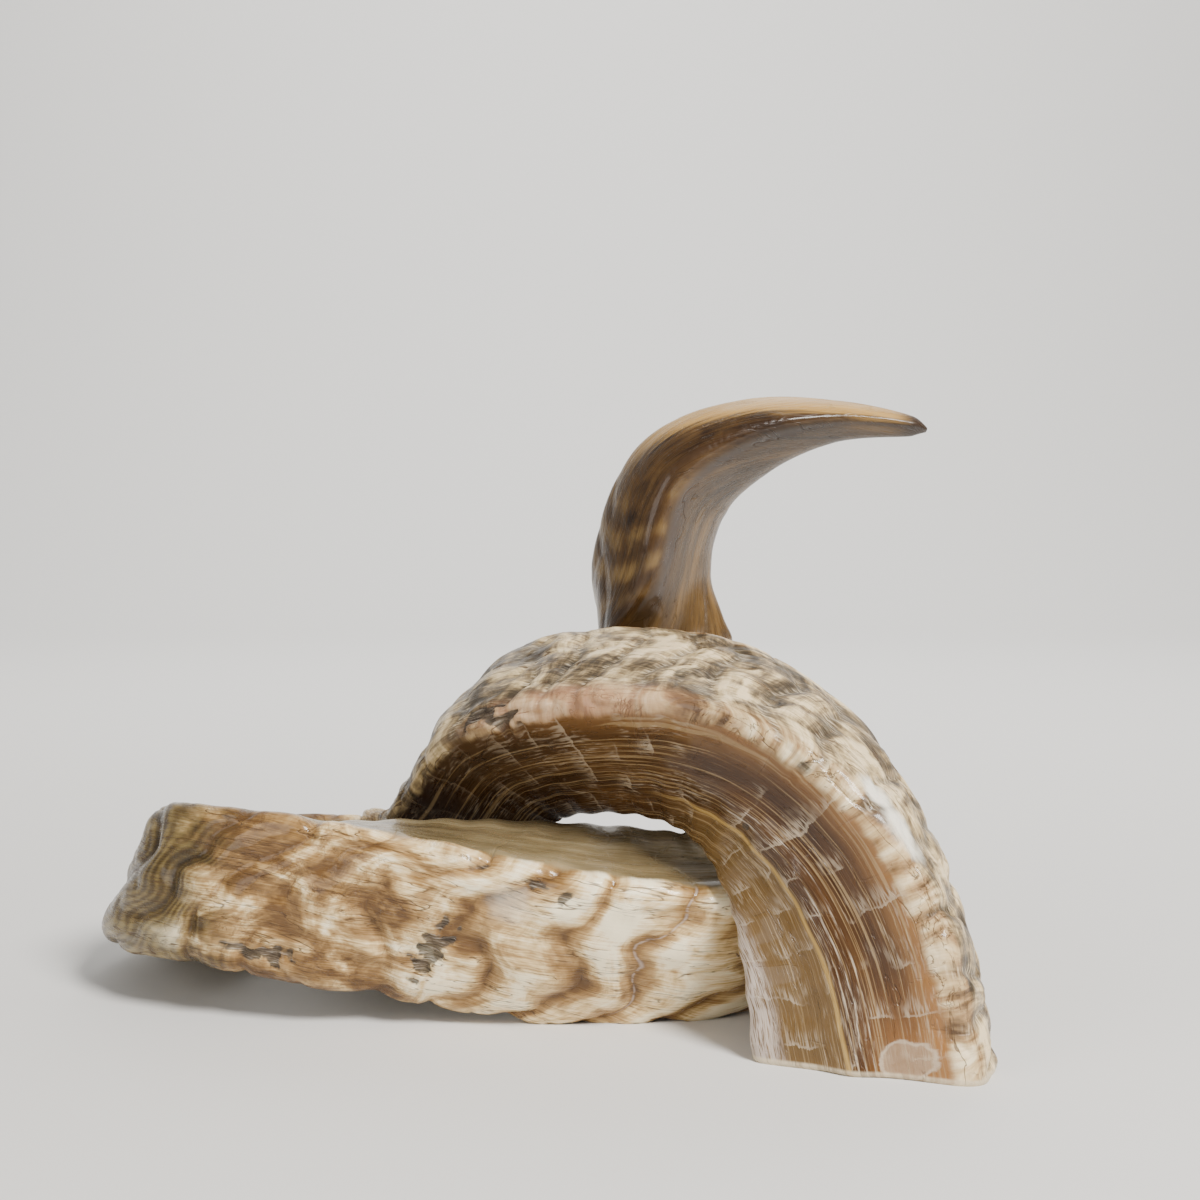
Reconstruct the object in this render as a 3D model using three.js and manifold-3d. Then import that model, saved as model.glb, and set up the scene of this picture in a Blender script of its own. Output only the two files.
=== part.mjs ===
// A ram's horn, polished and cut flat at its base. Units are millimetres, +Z is up.
//
// The horn is one solid: a three-cornered section carried along a curling spine. Its wide outer
// face is wrinkled, its two side faces are nearly smooth, and the third corner is the inner edge.
// It stands on the cut base, on the underside of its front coil and on that of its back coil.

import * as THREE from 'three';
import Module from 'manifold-3d';
import { mergeVertices } from 'three/addons/utils/BufferGeometryUtils.js';

const wasm = await Module();
wasm.setup();

// Spine stations from the cut base to the tip: [x, y, z] of the middle of the section.
// The base rises at the right, arches over to the back left, runs round a flat coil
// from the back to the front, passes behind the base and stands up to a free tip.
const SPINE = [
  [93, 14, -14],
  [91, 17, 2],
  [86.5, 22, 32],
  [77, 31, 62],
  [60, 43, 86],
  [37, 58, 99],
  [4, 80, 101],
  [-30, 105, 90],
  [-45, 127, 62],
  [-59, 150, 35],
  [-86, 162, 18],
  [-124, 158, 16],
  [-146, 144, 22],
  [-155, 119, 30],
  [-149, 95, 36],
  [-126, 78, 42],
  [-88, 69, 42],
  [-40, 64, 38],
  [4, 62, 33],
  [41, 70, 30],
  [65, 94, 37],
  [68, 124, 56],
  [45, 141, 84],
  [24, 143, 114],
  [23, 140, 148],
  [33, 138, 181],
  [58, 135, 198],
  [89, 133, 205],
  [118, 131, 203.5],
  [123, 131, 202.5],
];

// Which way the wrinkled face looks at each station.
const OUTWARD = [
  [1, -0.19, 0],
  [1, -0.19, 0.05],
  [0.97, -0.22, 0.2],
  [0.8, -0.28, 0.52],
  [0.5, -0.36, 0.8],
  [0.2, -0.42, 0.9],
  [-0.17, -0.4, 0.92],
  [-0.52, -0.2, 0.8],
  [-0.68, 0.2, 0.66],
  [-0.5, 0.6, 0.58],
  [-0.35, 0.8, 0.42],
  [-0.35, 0.8, 0.46],
  [-0.66, 0.5, 0.48],
  [-0.82, 0, 0.56],
  [-0.74, -0.48, 0.4],
  [-0.42, -0.85, 0.17],
  [-0.2, -0.98, -0.04],
  [-0.05, -1, -0.26],
  [0.05, -1, -0.45],
  [0.38, -0.9, -0.5],
  [0.85, -0.3, -0.55],
  [0.8, 0.5, -0.45],
  [0.05, 0.95, -0.25],
  [-0.85, 0.35, -0.08],
  [-0.9, -0.48, 0],
  [-0.72, -0.5, 0.5],
  [-0.25, -0.5, 0.83],
  [-0.05, -0.5, 0.87],
  [0.1, -0.5, 0.85],
  [0.1, -0.5, 0.85],
];

// Width of the wrinkled face, and depth from that face to the inner edge, at each station.
const FACE_WIDTH = [
  48, 48, 51, 54, 57, 58, 58, 58, 57, 57, 58, 60, 58,
  56, 55, 56, 58, 60, 64, 62, 56, 51, 46, 43, 42, 37,
  26, 14, 6, 1.5,
];
const DEPTH = [
  74, 74, 71, 65, 60, 57, 56, 56, 56, 56, 56, 52, 48,
  46, 48, 53, 59, 60, 57, 55, 53, 51, 49, 48, 50, 47,
  33, 17, 8, 2,
];

// Outline of the section for a horn 1 wide and 1 deep, as [outward, sideways] points:
// the wrinkled face first, then the near side, the inner edge and the far side.
const SECTION = [
  [0.44, -0.26],
  [0.46, 0],
  [0.44, 0.26],
  [0.4, 0.43],
  [0.33, 0.48],
  [0.1, 0.43],
  [-0.2, 0.36],
  [-0.42, 0.32],
  [-0.54, 0.27],
  [-0.55, 0.17],
  [-0.42, 0.01],
  [-0.15, -0.2],
  [0.12, -0.39],
  [0.31, -0.5],
  [0.39, -0.45],
];

const RINGS = 150;
const RING_POINTS = 32;

// Where the section turns from a side face into a crest and from a crest into the wrinkled face.
const FACE_STARTS = [0.3, 0.42];
const CREST_OUTWARD = [0.2, 0.36];
const CREST_SIDEWAYS = [0.34, 0.46];
// Relief dies away over this much of the depth beside the middle, where outward turns to inward.
const RELIEF_TURNS = 0.25;

// Growth wrinkles across the outer face. Each one slants, and the slant changes along the horn.
const WRINKLES = 38;
// Further wrinkles on the first stretch from the base, where they lie closer together.
const CLOSE_WRINKLES = 6;
const CLOSE_STRETCH = 0.3;
const WRINKLE_HEIGHT = 1.4;
const WRINKLE_SLANT_BASE = 0.6;
const WRINKLE_SLANT_COIL = -1.5;
const SLANT_CHANGES = [0.15, 0.5];
const WRINKLES_FADE = [0.7, 0.95];

// Lumps along the two crests beside the outer face, and faint growth steps on the side faces.
const CREST_LUMPS = 23;
const CREST_LUMP_HEIGHT = 1.1;
const SIDE_STEPS = 57;
const SIDE_STEP_HEIGHT = 0.35;

// The long ridge that runs up the near side from the base.
const RIDGE_HEIGHT = 3;
const RIDGE_PLACE = -0.14;
const RIDGE_SPREAD = 0.11;
const RIDGE_LENGTH = 0.2;

// The middle of the horn's footprint, which becomes the origin.
const ORIGIN = [-28.83, 92.47];

function smoothCurve(rows, closed = false) {
  return new THREE.CatmullRomCurve3(rows.map((row) => new THREE.Vector3(...row)), closed);
}

const spine = smoothCurve(SPINE);
const outward = smoothCurve(OUTWARD);
const sizes = smoothCurve(FACE_WIDTH.map((width, i) => [width, DEPTH[i], 0]));
const section = smoothCurve(SECTION.map(([out, side]) => [out, side, 0]), true);

function wave(cycles) {
  return Math.cos(2 * Math.PI * cycles);
}

function ramp(value, [from, to]) {
  return THREE.MathUtils.smoothstep(value, from, to);
}

// How far the surface stands out from the plain section, at a share of the horn's length.
function relief(share, shape) {
  const outerFace = ramp(shape.x, FACE_STARTS);
  const crest = ramp(Math.abs(shape.y), CREST_SIDEWAYS) * ramp(shape.x, CREST_OUTWARD);
  const turned = ramp(share, SLANT_CHANGES);
  const slant = THREE.MathUtils.lerp(WRINKLE_SLANT_BASE, WRINKLE_SLANT_COIL, turned);
  const grown = WRINKLES * share + CLOSE_WRINKLES * Math.min(share / CLOSE_STRETCH, 1);
  const wrinkle = WRINKLE_HEIGHT * outerFace * wave(grown + slant * shape.y);
  const lump = CREST_LUMP_HEIGHT * crest * wave(CREST_LUMPS * share + shape.y);
  const step = SIDE_STEP_HEIGHT * (1 - outerFace) * wave(SIDE_STEPS * share);
  const amount = THREE.MathUtils.clamp(shape.x / RELIEF_TURNS, -1, 1);
  return amount * (1 - ramp(share, WRINKLES_FADE)) * (wrinkle + lump + step);
}

function ridge(share, shape) {
  const across = shape.y > 0 ? Math.exp(-(((shape.x - RIDGE_PLACE) / RIDGE_SPREAD) ** 2)) : 0;
  return RIDGE_HEIGHT * across * (1 - ramp(share, [RIDGE_LENGTH / 2, RIDGE_LENGTH]));
}

// One ring of the surface, square to the spine.
function ringAt(share) {
  const t = spine.getUtoTmapping(share);
  const centre = spine.getPoint(t);
  const along = spine.getTangent(t);
  const out = outward.getPoint(t);
  out.addScaledVector(along, -out.dot(along)).normalize();
  const side = new THREE.Vector3().crossVectors(out, along);
  const size = sizes.getPoint(t);
  const ring = [];
  for (let k = 0; k < RING_POINTS; k += 1) {
    const shape = section.getPoint(k / RING_POINTS);
    ring.push(
      centre.clone()
        .addScaledVector(out, shape.x * size.y + relief(share, shape))
        .addScaledVector(side, shape.y * size.x + ridge(share, shape)),
    );
  }
  return ring;
}

function addCap(ring, closesBase, positions, index) {
  const centre = positions.length / 3;
  const middle = new THREE.Vector3();
  for (let k = 0; k < RING_POINTS; k += 1) {
    middle.add(new THREE.Vector3().fromArray(positions, 3 * (ring * RING_POINTS + k)));
  }
  middle.divideScalar(RING_POINTS);
  positions.push(...middle.toArray());
  for (let k = 0; k < RING_POINTS; k += 1) {
    const a = ring * RING_POINTS + k;
    const b = ring * RING_POINTS + ((k + 1) % RING_POINTS);
    index.push(...(closesBase ? [centre, a, b] : [centre, b, a]));
  }
}

function makeHorn() {
  const positions = [];
  const index = [];
  for (let i = 0; i <= RINGS; i += 1) {
    for (const point of ringAt(i / RINGS)) {
      positions.push(...point.toArray());
    }
  }
  for (let i = 0; i < RINGS; i += 1) {
    for (let k = 0; k < RING_POINTS; k += 1) {
      const a = i * RING_POINTS + k;
      const b = i * RING_POINTS + ((k + 1) % RING_POINTS);
      index.push(a, b + RING_POINTS, b, a, a + RING_POINTS, b + RING_POINTS);
    }
  }
  addCap(0, true, positions, index);
  addCap(RINGS, false, positions, index);
  const geometry = new THREE.BufferGeometry();
  geometry.setAttribute('position', new THREE.Float32BufferAttribute(positions, 3));
  geometry.setIndex(index);
  geometry.translate(-ORIGIN[0], -ORIGIN[1], 0);
  return geometry;
}

// Saws the base off flat at the table and rubs the two resting spots of the coil flat.
function cutAtTable(geometry) {
  const welded = mergeVertices(geometry, 1e-4);
  const body = new wasm.Manifold(new wasm.Mesh({
    numProp: 3,
    vertProperties: new Float32Array(welded.attributes.position.array),
    triVerts: new Uint32Array(welded.index.array),
  }));
  const cut = body.trimByPlane([0, 0, 1], 0).getMesh();
  const result = new THREE.BufferGeometry();
  result.setAttribute('position', new THREE.BufferAttribute(new Float32Array(cut.vertProperties), 3));
  result.setIndex(new THREE.BufferAttribute(new Uint32Array(cut.triVerts), 1));
  result.computeVertexNormals();
  return result;
}

const horn = new THREE.Mesh(
  cutAtTable(makeHorn()),
  new THREE.MeshStandardMaterial({ color: 0xb89468, roughness: 0.35, metalness: 0 }),
);
horn.name = 'horn';

const group = new THREE.Group();
group.name = 'rams_horn';
group.add(horn);

export default group;
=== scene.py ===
# %% [markdown]
# # A ram's horn, in Blender
#
# A ram's horn is a sheath of keratin, the stuff of hooves and fingernails. It grows from its base,
# a little more on one side than on the other, so it curls. Each season leaves a wrinkle across the
# wide outer face, and the whole length shows fine fibres that run from the base to the tip.
#
# This notebook rebuilds such a horn as one skin: a three-cornered section is carried along a
# curling spine, wrinkles and pits are raised from it, and nodes work out the colours from how far
# along and how far round the horn each point lies. Lengths in the tables are in millimetres, and
# the finished mesh is in metres, because that is what Blender uses.

# %% Load the fixed frame
import math

import bpy
import bmesh
import numpy as np
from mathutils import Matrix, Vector, noise


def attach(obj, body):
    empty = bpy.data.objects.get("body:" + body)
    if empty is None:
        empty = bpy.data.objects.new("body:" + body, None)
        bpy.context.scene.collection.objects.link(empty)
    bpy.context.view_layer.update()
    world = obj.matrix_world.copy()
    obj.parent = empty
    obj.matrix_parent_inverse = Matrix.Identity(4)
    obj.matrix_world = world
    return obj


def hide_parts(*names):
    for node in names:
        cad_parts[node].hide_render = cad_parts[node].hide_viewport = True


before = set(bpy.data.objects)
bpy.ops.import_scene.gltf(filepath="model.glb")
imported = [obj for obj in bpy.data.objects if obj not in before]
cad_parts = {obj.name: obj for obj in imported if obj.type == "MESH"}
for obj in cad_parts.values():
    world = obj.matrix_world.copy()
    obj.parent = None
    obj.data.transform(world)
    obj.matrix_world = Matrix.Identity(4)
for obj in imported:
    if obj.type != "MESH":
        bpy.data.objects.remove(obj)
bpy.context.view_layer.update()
print("frame nodes:", sorted(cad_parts))

# %% [markdown]
# ## The shape of the horn
#
# One row for each place where the horn bends: the middle of the section, the way the wrinkled face
# looks, how wide that face is and how deep the horn is from there to its inner edge. The base comes
# first and the tip last. A horn is easier to shape by such a table than by pulling on a mesh,
# because a whole bend moves when one row changes.

# %% Stations along the horn
STATIONS = [
    # centre, outward, width, depth
    ((93, 14, -14), (1, -0.19, 0), 48, 74),
    ((91, 17, 2), (1, -0.19, 0.05), 48, 74),
    ((86.5, 22, 32), (0.97, -0.22, 0.2), 51, 71),
    ((77, 31, 62), (0.8, -0.28, 0.52), 54, 65),
    ((60, 43, 86), (0.5, -0.36, 0.8), 57, 60),
    ((37, 58, 99), (0.2, -0.42, 0.9), 58, 57),
    ((4, 80, 101), (-0.17, -0.4, 0.92), 58, 56),
    ((-30, 105, 90), (-0.52, -0.2, 0.8), 58, 56),
    ((-45, 127, 62), (-0.68, 0.2, 0.66), 57, 56),
    ((-59, 150, 35), (-0.5, 0.6, 0.58), 57, 56),
    ((-86, 162, 18), (-0.35, 0.8, 0.42), 58, 56),
    ((-124, 158, 16), (-0.35, 0.8, 0.46), 60, 52),
    ((-146, 144, 22), (-0.66, 0.5, 0.48), 58, 48),
    ((-155, 119, 30), (-0.82, 0, 0.56), 56, 46),
    ((-149, 95, 36), (-0.74, -0.48, 0.4), 55, 48),
    ((-126, 78, 42), (-0.42, -0.85, 0.17), 56, 53),
    ((-88, 69, 42), (-0.2, -0.98, -0.04), 58, 59),
    ((-40, 64, 38), (-0.05, -1, -0.26), 60, 60),
    ((4, 62, 33), (0.05, -1, -0.45), 64, 57),
    ((41, 70, 30), (0.38, -0.9, -0.5), 62, 55),
    ((65, 94, 37), (0.85, -0.3, -0.55), 56, 53),
    ((68, 124, 56), (0.8, 0.5, -0.45), 51, 51),
    ((45, 141, 84), (0.05, 0.95, -0.25), 46, 49),
    ((24, 143, 114), (-0.85, 0.35, -0.08), 43, 48),
    ((23, 140, 148), (-0.9, -0.48, 0), 42, 50),
    ((33, 138, 181), (-0.72, -0.5, 0.5), 37, 47),
    ((58, 135, 198), (-0.25, -0.5, 0.83), 26, 33),
    ((89, 133, 205), (-0.05, -0.5, 0.87), 14, 17),
    ((118, 131, 203.5), (0.1, -0.5, 0.85), 6, 8),
    ((123, 131, 202.5), (0.1, -0.5, 0.85), 1.5, 2),
]

# The section for a horn 1 wide and 1 deep, as (outward, sideways): first the wrinkled face, then
# the near side, the inner edge and the far side.
SECTION = [
    (0.44, -0.26), (0.46, 0.0), (0.44, 0.26), (0.40, 0.43), (0.33, 0.48),
    (0.10, 0.43), (-0.20, 0.36), (-0.42, 0.32), (-0.54, 0.27), (-0.55, 0.17),
    (-0.42, 0.01), (-0.15, -0.20), (0.12, -0.39), (0.31, -0.50), (0.39, -0.45),
]

# The middle of the horn's footprint, which becomes the origin.
FOOTPRINT_MIDDLE = (-28.83, 92.47)
print(f"{len(STATIONS)} stations, {len(SECTION)} points in the section")

# %% [markdown]
# ## A smooth path through the stations
#
# A grown horn has no corners along its length. A Bezier curve could follow it, but each of its
# handles would need a place of its own. A Catmull-Rom curve only needs the stations: it passes
# through every row and takes its direction there from the two rows beside it.


# %% Smooth curves
def smooth_curve(rows, closed=False):
    """A function of t, from 0 to 1, that runs smoothly through the rows."""
    rows = np.asarray(rows, float)
    if closed:
        ends = np.concatenate([rows[-1:], rows, rows[:2]])
        spans = len(rows)
    else:
        before = 2 * rows[0] - rows[1]
        after = 2 * rows[-1] - rows[-2]
        ends = np.concatenate([[before], rows, [after]])
        spans = len(rows) - 1

    def gap(a, b):
        distance = np.linalg.norm(b - a, axis=-1) ** 0.5
        return np.where(distance < 1e-4, 1.0, distance)[..., None]

    def at(t):
        place = np.clip(np.asarray(t, float), 0, 1) * spans
        span = np.minimum(np.floor(place).astype(int), spans - 1)
        w = (place - span)[..., None]
        p0, p1, p2, p3 = (ends[span + step] for step in range(4))
        g0, g1, g2 = gap(p0, p1), gap(p1, p2), gap(p2, p3)
        leave = ((p1 - p0) / g0 - (p2 - p0) / (g0 + g1) + (p2 - p1) / g1) * g1
        arrive = ((p2 - p1) / g1 - (p3 - p1) / (g1 + g2) + (p3 - p2) / g2) * g1
        return (
            p1
            + leave * w
            + (3 * (p2 - p1) - 2 * leave - arrive) * w ** 2
            + (2 * (p1 - p2) + leave + arrive) * w ** 3
        )

    return at


spine = smooth_curve([row[0] for row in STATIONS])
outward = smooth_curve([row[1] for row in STATIONS])
sizes = smooth_curve([(row[2], row[3]) for row in STATIONS])
section = smooth_curve(SECTION, closed=True)

steps = np.linspace(0, 1, 201)
walked = np.linalg.norm(np.diff(spine(steps), axis=0), axis=1)
walked = np.concatenate([[0], np.cumsum(walked)])
LENGTH = walked[-1]
print(f"the horn is {LENGTH:.0f} mm long, measured along its middle")


# %% The section's own axes
def unit(v):
    return v / np.linalg.norm(v, axis=-1, keepdims=True)


def frame_at(share):
    """Centre, outward, sideways and size of the section at a share of the horn's length."""
    t = np.interp(share, walked / LENGTH, steps)
    nudge = 1e-4
    along = unit(spine(np.minimum(t + nudge, 1)) - spine(np.maximum(t - nudge, 0)))
    out = outward(t)
    out = unit(out - along * np.sum(out * along, axis=-1, keepdims=True))
    return spine(t), out, np.cross(out, along), sizes(t)


print("width and depth half way along:", frame_at(np.array(0.5))[3].round(1))

# %% [markdown]
# ## Wrinkles, lumps and pits
#
# The growth wrinkles cross the outer face at a slant that changes along the horn, and lie closer
# together near the base. Each has a broad back and a narrow valley, because the horn swells for a
# whole season and then stops. Noise bends them, since the surface is never even. The side faces
# only carry faint steps, and one long ridge runs up the near side from the base. How strongly each
# kind of relief acts is worked out here for each point of the skin, and stored on the mesh. A
# Geometry Nodes tree then lifts the skin by it, so that each height can be tuned on its own.

# %% Numbers for the relief
# Heights for the Geometry Nodes tree, in metres.
WRINKLE_HEIGHT = 0.0014
DENT_HEIGHT = 0.001
SIDE_STEP_HEIGHT = 0.00035
PIT_DEPTH = 0.001

# How many wrinkles and steps there are, with further wrinkles on the first stretch.
WRINKLES = 38
CLOSE_WRINKLES = 6
CLOSE_STRETCH = 0.3
SIDE_STEPS = 57

# The slant of the wrinkles, and where along the horn it changes. A higher sharpness makes the
# valleys narrower, and the sink sets the whole wrinkled face a little back.
WRINKLE_SLANT_BASE = 0.6
WRINKLE_SLANT_COIL = -1.5
SLANT_CHANGES = (0.15, 0.5)
VALLEY_SHARPNESS = 1.35
WRINKLE_SINK = 0.35
CREASE_WIDTH = 0.22

# Where the section turns from a side face into a crest, and from a crest into the outer face.
FACE_STARTS = (0.30, 0.42)
CREST_OUTWARD = (0.20, 0.36)
CREST_SIDEWAYS = (0.34, 0.46)
RELIEF_TURNS = 0.25

# Where along the horn the weathered stretch ends, and where all relief dies away.
WEATHERED_ENDS = (0.28, 0.36)
WRINKLES_FADE = (0.70, 0.95)

# The long ridge of the near side: height in millimetres, the rest as shares.
RIDGE_HEIGHT = 3.0
RIDGE_PLACE = -0.14
RIDGE_SPREAD = 0.11
RIDGE_LENGTH = 0.2

# Rough pits where the surface has broken away: how far along, how far round, half length and
# half width in millimetres, and how deep as a multiple of PIT_DEPTH.
PITS = [
    (562, -6, 5.5, 12, 1.8), (575, 27, 5, 2.5, 0.9), (594, 25, 5, 3, 1.1), (603, 23, 3, 3, 1.2),
    (505, -20, 13, 4, 1.4), (212, 24, 8, 4, 1.8), (204, 28, 6, 2.5, 2.2), (187, 5, 5, 4, 1.1),
    (144, 10, 4, 5, 1.0), (121, 11, 3, 5, 1.0), (103, 28, 2.5, 4, 0.9),
]
PIT_SLANT = 0.4
PIT_EDGE = (0.45, 1.1)
print(f"{WRINKLES + CLOSE_WRINKLES} wrinkles and {len(PITS)} pits")


# %% Ramps, waves and noise
def ramp(value, low, high):
    """Climbs smoothly from 0 at low to 1 at high."""
    w = np.clip((value - low) / (high - low), 0, 1)
    return w * w * (3 - 2 * w)


def wave(cycles):
    return np.cos(2 * np.pi * cycles)


NOISE_GAIN = 1.6


def grain(along, around, size_along, size_around, seed):
    """Soft noise from about -1 to 1, with lumps of the given size in millimetres."""
    layer = np.full_like(along, seed)
    spots = np.stack([along / size_along, around / size_around, layer], axis=-1)
    flat = [noise.noise(Vector(spot)) for spot in spots.reshape(-1, 3)]
    return NOISE_GAIN * np.array(flat).reshape(along.shape)


print("a ramp from 0 to 1 at a quarter of its way:", ramp(0.25, 0, 1))


# %% Wrinkles and pits
def wrinkle_cycles(share, shape, along, around):
    """Counts the wrinkles from the base on; a whole number is the top of a wrinkle."""
    slant_change = WRINKLE_SLANT_COIL - WRINKLE_SLANT_BASE
    slant = WRINKLE_SLANT_BASE + slant_change * ramp(share, *SLANT_CHANGES)
    grown = WRINKLES * share + CLOSE_WRINKLES * np.minimum(share / CLOSE_STRETCH, 1)
    bent = 0.55 * grain(along, around, 50, 30, 21.3) + 0.2 * grain(along, around, 15, 11, 5.9)
    return grown + slant * shape[..., 1] + bent


def swelling(cycles):
    """1 on the back of a wrinkle and -1 in its narrow valley."""
    return 1 - 2 * (1 - np.abs(np.cos(np.pi * cycles))) ** VALLEY_SHARPNESS


def pit_depth(along, around):
    """How deep the pits are at each point, with noise that makes their edges ragged."""
    edge = 0.55 * grain(along, around, 4, 2.5, 17.7)
    depth = np.zeros_like(along)
    for pit_along, pit_around, half_length, half_width, under_arch_shade in PITS:
        across = around - pit_around
        lengthwise = along - pit_along - PIT_SLANT * across
        away = np.hypot(lengthwise / half_length, across / half_width) + edge
        depth = np.maximum(depth, under_arch_shade * (1 - ramp(away, *PIT_EDGE)))
    return depth


print("swelling on a wrinkle and in its valley:", swelling(0.0), swelling(0.5))


# %% How strongly each kind of relief acts
def relief(share, shape, along, around):
    """One layer of numbers for each kind of relief, and those that the material reads."""
    outer = ramp(shape[..., 0], *FACE_STARTS)
    crest = ramp(np.abs(shape[..., 1]), *CREST_SIDEWAYS) * ramp(shape[..., 0], *CREST_OUTWARD)
    rough = np.maximum(outer, crest)
    fade = 1 - ramp(share, *WRINKLES_FADE)
    amount = fade * np.clip(shape[..., 0] / RELIEF_TURNS, -1, 1)
    weathered = 1 - ramp(share, *WEATHERED_ENDS)

    cycles = wrinkle_cycles(share, shape, along, around)
    swell = swelling(cycles)
    uneven = 1 - weathered * (0.3 + 0.45 * crest)
    uneven = uneven * (0.8 + 0.45 * grain(along, around, 30, 16, 33.1))

    lumpy_coil = ramp(share, 0.40, 0.50) * ramp(share, 0.62, 0.55)
    dents = grain(along, around, 20, 14, 3.1) * (0.55 + 0.6 * lumpy_coil)
    small = grain(along, around, 6, 4.5, 8.7)
    crease = CREASE_WIDTH - np.abs(grain(along, around, 17, 8, 12.9))
    crease = np.clip(crease, 0, 1) / CREASE_WIDTH
    fine = dents + (0.16 + 0.16 * weathered) * small - (0.55 + 0.4 * weathered) * crease
    return {
        "outer": outer,
        "crest": crest,
        "swell": swell * fade,
        "cycles": cycles,
        "pit": pit_depth(along, around),
        "wrinkle": amount * rough * (uneven * swell - WRINKLE_SINK),
        "fine": amount * (rough * fine),
        "step": amount * (1 - rough) * wave(SIDE_STEPS * share),
    }


def ridge(share, shape):
    """Height in millimetres of the long ridge that runs up the near side from the base."""
    profile = np.exp(-(((shape[..., 0] - RIDGE_PLACE) / RIDGE_SPREAD) ** 2))
    across = np.where(shape[..., 1] > 0, profile, 0)
    return RIDGE_HEIGHT * across * (1 - ramp(share, RIDGE_LENGTH / 2, RIDGE_LENGTH))


print("ridge at its highest, in mm:", ridge(0.0, np.array([RIDGE_PLACE, 0.4])))

# %% [markdown]
# ## The skin
#
# The first ring of the mesh follows the saw cut exactly. For each of the lines that run along the
# horn, the share of the length where it crosses the table is looked up, and the line starts there.
# The two places where the coil rests are worn flat by setting anything below the table onto it.

# %% Points of the skin
RINGS = 860
RING_POINTS = 112
shape_row = section(np.arange(RING_POINTS) / RING_POINTS)
OUTER_MIDDLE = np.array(SECTION[1])


def skin(share):
    """Points of the skin for a table of shares: one row a ring, one column a line along it."""
    shape = np.broadcast_to(shape_row, share.shape + (2,))
    centre, out, side, size = frame_at(share)
    along = share * LENGTH
    # How far round the section a point lies from the middle of the outer face. The far side is
    # negative.
    reach = np.linalg.norm((shape - OUTER_MIDDLE) * size[..., ::-1], axis=-1)
    around = np.where(shape[..., 1] >= 0, reach, -reach)
    layers = relief(share, shape, along, around)
    points = (
        centre
        + out * shape[..., :1] * size[..., 1:2]
        + side * (shape[..., 1:] * size[..., :1] + ridge(share, shape)[..., None])
        - np.array([*FOOTPRINT_MIDDLE, 0])
    )
    layers.update(share=share, along=along, around=around, sideways=shape[..., 1])
    return points, layers


# %% Start every line at the saw cut
CUT_WITHIN = 0.06  # the saw cut lies within this share of the length
CUT_SEARCH = 61
SETTLE_HEIGHT = 3.0
BASE_STRETCH = 0.1

near_base = np.linspace(0, CUT_WITHIN, CUT_SEARCH)[:, None]
near_base = np.broadcast_to(near_base, (CUT_SEARCH, RING_POINTS))
heights = skin(near_base)[0][..., 2]
start = np.array([np.interp(0, heights[:, k], near_base[:, k]) for k in range(RING_POINTS)])
rows = np.linspace(0, 1, RINGS + 1)[:, None]
points, layers = skin(rows + start * np.clip(1 - rows / CUT_WITHIN, 0, 1))

# The relief fades out at the saw cut, so that the cut stays flat.
above_cut = ramp(points[..., 2], 0.0, SETTLE_HEIGHT)
layers["settled"] = above_cut + (rows > BASE_STRETCH) * (1 - above_cut)
points[..., 2] = np.maximum(points[..., 2], 0)

# The sawn edge was rubbed round, so the first rings draw in towards the middle of the cut.
CHAMFER = 1.0
EDGE_RINGS = 6
edge = points[:EDGE_RINGS]
cut_middle = points[0].mean(axis=0)
drawn = CHAMFER * np.clip(1 - edge[..., 2:] / CHAMFER, 0, 1) ** 2
edge += unit(cut_middle - edge) * np.array([1, 1, 0]) * drawn
print(f"{points.shape[0]} rings of {points.shape[1]} points")

# %% [markdown]
# ## From points to a mesh
#
# Four neighbouring points make a face, and a fan of triangles closes each end. The mesh keeps the
# layers of numbers as attributes, one number for each of its points, because both the Geometry
# Nodes and the material work from them.

# %% Mesh of the horn
faces = []
for i in range(RINGS):
    for k in range(RING_POINTS):
        a = i * RING_POINTS + k
        b = i * RING_POINTS + (k + 1) % RING_POINTS
        faces.append((a, a + RING_POINTS, b + RING_POINTS, b))
base_middle = points.shape[0] * RING_POINTS
tip_middle = base_middle + 1
last = RINGS * RING_POINTS
for k in range(RING_POINTS):
    following = (k + 1) % RING_POINTS
    faces.append((base_middle, k, following))
    faces.append((tip_middle, last + following, last + k))

positions = [tuple(p) for p in points.reshape(-1, 3) / 1000]
positions += [tuple(end.mean(axis=0) / 1000) for end in (points[0], points[-1])]
mesh = bpy.data.meshes.new("horn_skin")
mesh.from_pydata(positions, [], faces)
mesh.update()
horn = bpy.data.objects.new("horn_skin", mesh)
bpy.context.scene.collection.objects.link(horn)
for polygon in mesh.polygons:
    polygon.use_smooth = True
print(f"{len(mesh.vertices)} points and {len(mesh.polygons)} faces")


# %% Store the layers on the mesh
def give(name, values):
    """Stores one number for each point of the mesh, for the nodes to read."""
    layer = mesh.attributes.new(name, "FLOAT", "POINT")
    flat = np.concatenate([values.reshape(-1), [values[0].mean(), values[-1].mean()]])
    layer.data.foreach_set("value", flat.astype(np.float32))


for name, values in layers.items():
    give(name, values)
print("stored:", ", ".join(layers))

# %% [markdown]
# ## Raising the relief with Geometry Nodes
#
# The growth wrinkles repeat along the whole horn and follow its surface, which is the sort of work
# Geometry Nodes are for. The tree reads the stored numbers, multiplies each by a height that is an
# input of the modifier, and moves every point along its normal. A second move puts whatever ended
# up below the table onto it, because the horn's two resting spots are worn flat. Realize Instances
# and Set Material come last, so that what leaves the tree is a real mesh with its material.

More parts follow.
